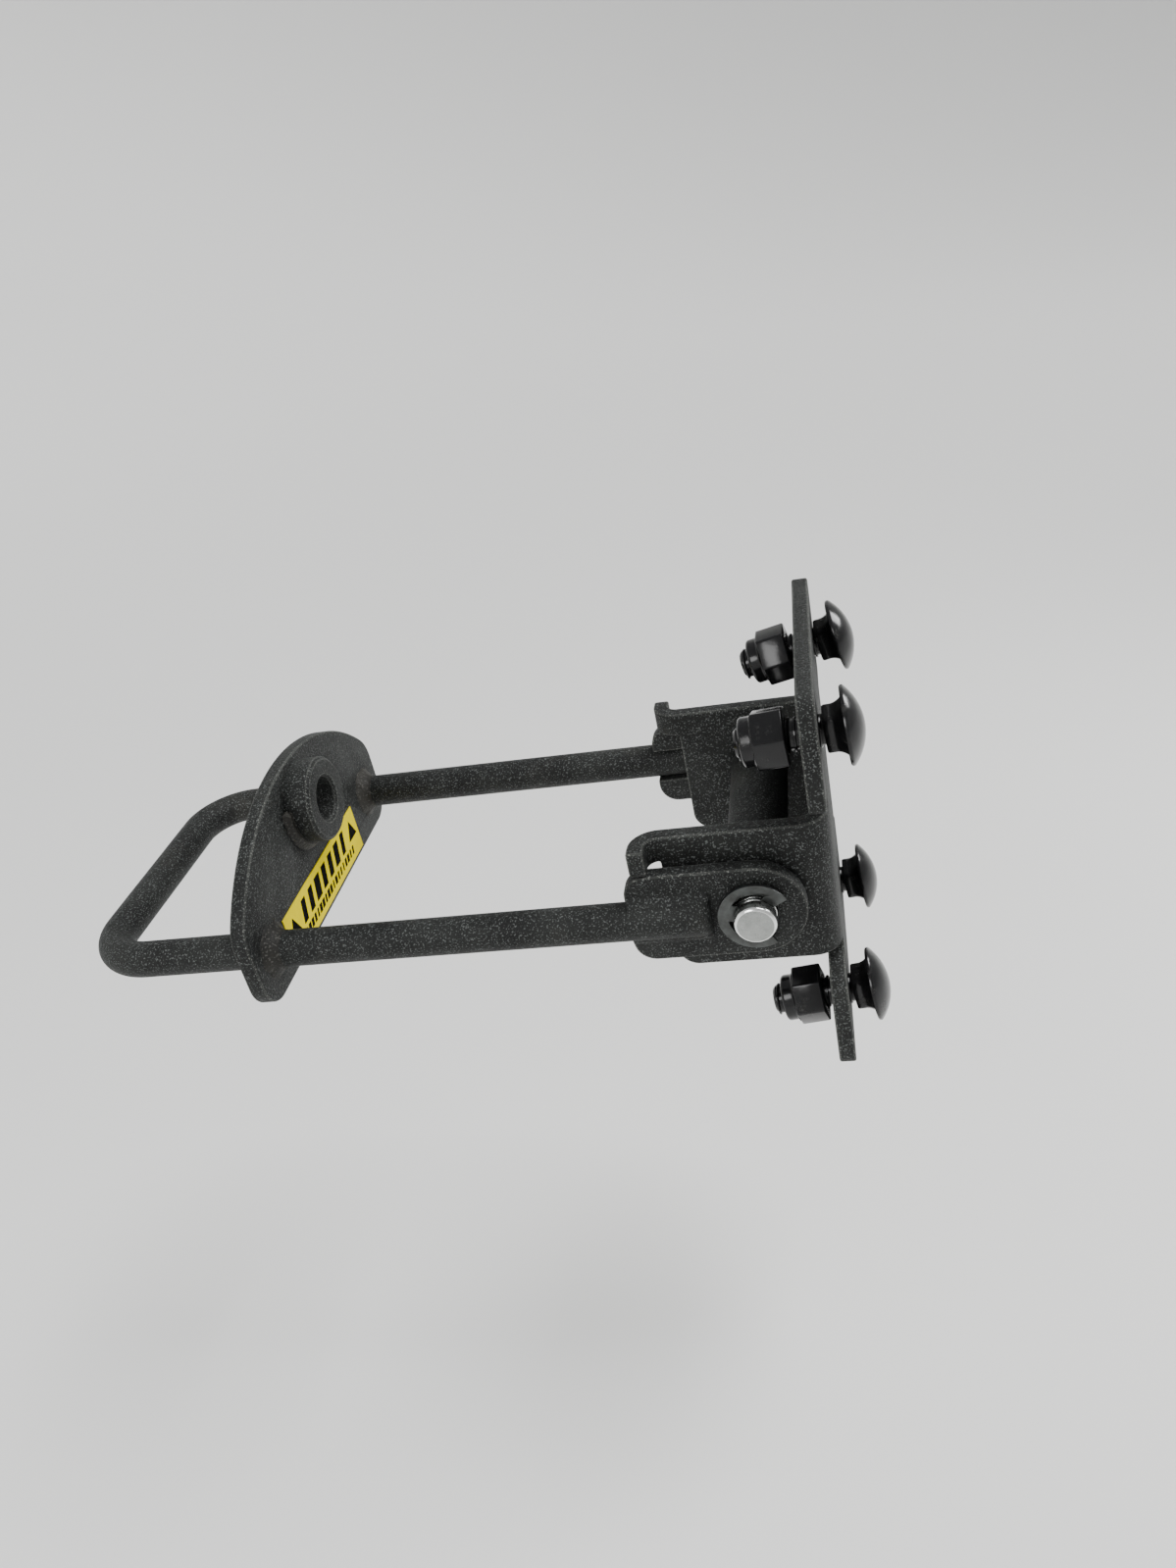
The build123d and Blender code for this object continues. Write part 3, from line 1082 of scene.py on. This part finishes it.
@dataclass
class Label:
    """The yellow film with plain slanted marks in place of print."""

    rise: float = 0.03 * MM
    slant: float = 0.28
    rows: tuple[MarkRow, ...] = (
        MarkRow("large", count=7, step=6.1 * MM, height=7.0 * MM, width=4.3 * MM, place=0.62, seed=3),
        MarkRow("small", count=20, step=2.5 * MM, height=2.6 * MM, width=1.6 * MM, place=0.22, seed=8))
    bar_sizes: tuple[tuple[float, ...], ...] = ((1.0, 0.55, 1.0), (1.0, 1.25, 1.0))
    triangle_size: float = 6.2 * MM
    triangle_share: float = 0.56
    triangle_inset: float = 5.2 * MM
    triangle_place: float = 0.42

    def marks_recipe(self) -> GeometryRecipe:
        """Geometry Nodes tree for a row of slanted bars of uneven width.

        Returns:
            The tree.
        """
        recipe = GeometryRecipe("slanted_marks")
        count, seed = recipe.input("Count", "Int"), recipe.input("Seed", "Int")
        step, height, width, slant = (recipe.input(n) for n in ("Step", "Height", "Width", "Slant"))
        offset = recipe.node("ShaderNodeCombineXYZ", {"Y": step})
        row = recipe.node("GeometryNodeMeshLine", {"Count": count, "Offset": offset.outputs[0]})
        size = recipe.node("ShaderNodeCombineXYZ", {"Y": width, "Z": height}, {"X": 2 * self.rise})
        bar = recipe.node("GeometryNodeMeshCube", {"Size": size.outputs[0]})
        jitter = recipe.node("FunctionNodeRandomValue", {"Seed": seed}, dict(enumerate(self.bar_sizes)),
                             data_type="FLOAT_VECTOR")
        bars = {"Points": row.outputs[0], "Instance": bar.outputs[0], "Scale": jitter.outputs[0]}
        placed = recipe.node("GeometryNodeInstanceOnPoints", bars)
        real = recipe.node("GeometryNodeRealizeInstances", {"Geometry": placed.outputs[0]})
        place = recipe.node("GeometryNodeInputPosition")
        split = recipe.node("ShaderNodeSeparateXYZ", {"Vector": place.outputs[0]})
        lean = recipe.node("ShaderNodeCombineXYZ", {"Y": recipe.product(split.outputs["Z"], slant)})
        shift = {"Geometry": real.outputs[0], "Offset": lean.outputs[0]}
        sheared = recipe.node("GeometryNodeSetPosition", shift)
        recipe.close(sheared.outputs[0])
        return recipe

    def triangle(self, side: str, centre: Vector, material: bpy.types.Material) -> bpy.types.Object:
        """A plain flat triangle on the film.

        Args:
            side: "right" or "left".
            centre: The middle of its foot.
            material: Its finish.

        Returns:
            The object.
        """
        half = self.triangle_size * self.triangle_share
        rings = []
        for depth in (-self.rise, self.rise):
            x = centre.x + depth
            rings.append([Vector((x, centre.y - half, centre.z)), Vector((x, centre.y + half, centre.z)),
                          Vector((x, centre.y, centre.z + self.triangle_size))])
        return loft(f"label_triangle_{side}", rings, material)

    def build(self, finishes: Finishes) -> None:
        """Dress the film and lay the marks on it.

        Args:
            finishes: The part's finishes.
        """
        film = frame["nodes"]["face_label"]
        film.data.materials.clear()
        film.data.materials.append(finishes.label)
        low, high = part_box("face_label")
        length, height = high.y - low.y, high.z - low.z
        recipe = self.marks_recipe()
        for row in self.rows:
            start = plain_object("marks_start", bpy.data.meshes.new("marks_start"))
            marks = recipe.make(f"label_marks_{row.name}", start, Count=row.count, Seed=row.seed,
                                Step=row.step, Height=row.height, Width=row.width, Slant=self.slant,
                                Finish=finishes.ink)
            margin = (length - row.step * (row.count - 1)) / 2
            marks.data.transform(Matrix.Translation((high.x, low.y + margin, low.z + row.place * height)))
            keep(marks, Body.BAIL)
        foot = low.z + self.triangle_place * height
        for side, y in (("right", low.y + self.triangle_inset), ("left", high.y - self.triangle_inset)):
            keep(self.triangle(side, Vector((high.x, y, foot)), finishes.ink), Body.BAIL)


# ---------------------------------------------------------------- studio


@dataclass
class Lamp:
    """A soft light: an area lamp, or an even light from far away.

    The place and target are in metres, and the power in watts. A far light has only a direction, its
    width is the angle in radians that it seems to fill, and its power is its strength.
    """

    name: str
    place: tuple[float, float, float]
    power: float
    width: float
    target: tuple[float, float, float] = (0.0, 0.0, 0.0)
    far: bool = False

    def build(self) -> None:
        """Hang the lamp and turn it to its target."""
        data = bpy.data.lights.new(self.name, "SUN" if self.far else "AREA")
        data.energy = self.power
        if self.far:
            data.angle = self.width
        else:
            data.size = self.width
        light = bpy.data.objects.new(self.name, data)
        bpy.context.scene.collection.objects.link(light)
        light.location = self.place
        light.rotation_mode = "QUATERNION"
        light.rotation_quaternion = (Vector(self.target) - Vector(self.place)).to_track_quat("-Z", "Y")


@dataclass
class Studio:
    """Camera, floor and soft lights."""

    lens: float = 27.18
    eye: tuple[float, float, float] = (0.006487, -0.296004, 0.185308)
    right: tuple[float, float, float] = (0.971085, 0.135921, -0.196263)
    down: tuple[float, float, float] = (-0.101792, -0.507888, -0.855388)
    forward: tuple[float, float, float] = (-0.215945, 0.850632, -0.479366)
    floor_gap: float = 3.0 * MM
    floor_radius: float = 2.0
    cove: float = 1.8
    wall_top: float = 3.2
    wall_steps: int = 96
    surround_power: float = 0.6
    lamps: tuple[Lamp, ...] = (
        Lamp("soft_sun", place=(0.50, 0.10, 1.0), power=2.7, width=math.radians(28), far=True),
        Lamp("rim_light", place=(0.42, 0.30, 0.22), power=1.6, width=0.16),
        Lamp("fill_light", place=(-0.30, -0.60, 0.45), power=2.6, width=0.30, target=(-0.08, 0.0, 0.0)))

    def build(self) -> None:
        """Build camera, floor, world and lights."""
        self.build_camera()
        self.build_floor()
        self.build_world()
        for lamp in self.lamps:
            lamp.build()

    def build_camera(self) -> None:
        """Place the camera."""
        data = bpy.data.cameras.new("camera")
        data.lens = self.lens
        data.sensor_width = 36.0
        data.clip_start = 0.01
        camera = bpy.data.objects.new("camera", data)
        bpy.context.scene.collection.objects.link(camera)
        turn = Matrix((self.right, [-c for c in self.down], [-c for c in self.forward])).transposed()
        camera.matrix_world = Matrix.Translation(self.eye) @ turn.to_4x4()
        bpy.context.scene.camera = camera

    def build_floor(self) -> None:
        """Lay the floor below the bail's lowest reach, swept up all round into a plain backdrop."""
        pin = frame["record"]["behaviour"]["joints"][0]["pos_m"][0]
        swing = max(abs(pin - v.co.x) for v in frame["nodes"]["bail_rod"].data.vertices)
        level = -swing - self.floor_gap
        profile = [(self.floor_radius, 0.0)]
        for degrees in range(6, 91, 6):
            turn = math.radians(degrees)
            reach = self.floor_radius + self.cove * math.sin(turn)
            profile.append((reach, self.cove * (1 - math.cos(turn))))
        profile.append((self.floor_radius + self.cove, self.wall_top))
        turns = [2 * math.pi * i / self.wall_steps for i in range(self.wall_steps)]
        work = bmesh.new()
        rows = [[work.verts.new((reach * math.cos(turn), reach * math.sin(turn), level + rise))
                 for turn in turns] for reach, rise in profile]
        work.faces.new(rows[0])
        for lower, upper in zip(rows, rows[1:]):
            for i in range(self.wall_steps):
                j = (i + 1) % self.wall_steps
                work.faces.new((lower[i], upper[i], upper[j], lower[j]))
        bmesh.ops.recalc_face_normals(work, faces=work.faces)
        mesh = bpy.data.meshes.new("floor")
        work.to_mesh(mesh)
        work.free()
        mesh.shade_smooth()
        floor = plain_object("floor", mesh)
        graph = ShaderGraph("pale_floor")
        graph.shader.inputs["Base Color"].default_value = (0.80, 0.80, 0.79, 1)
        graph.fix(Roughness=0.6)
        mesh.materials.append(graph.material)

    def build_world(self) -> None:
        """Set a plain pale surround."""
        world = bpy.data.worlds.new("surround")
        world.use_nodes = True
        background = world.node_tree.nodes["Background"]
        background.inputs["Color"].default_value = (0.90, 0.91, 0.92, 1)
        background.inputs["Strength"].default_value = self.surround_power
        bpy.context.scene.world = world


def main() -> None:
    """Build every sub-assembly."""
    logging.basicConfig(level=logging.INFO, format="%(name)s %(message)s")
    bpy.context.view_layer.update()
    finishes = Finishes()
    MountBracket().build(finishes)
    PivotPin().build(finishes)
    BoltSet().build(finishes)
    Bail().build(finishes)
    Label().build(finishes)
    Studio().build()
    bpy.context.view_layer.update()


if __name__ == "__main__":
    main()
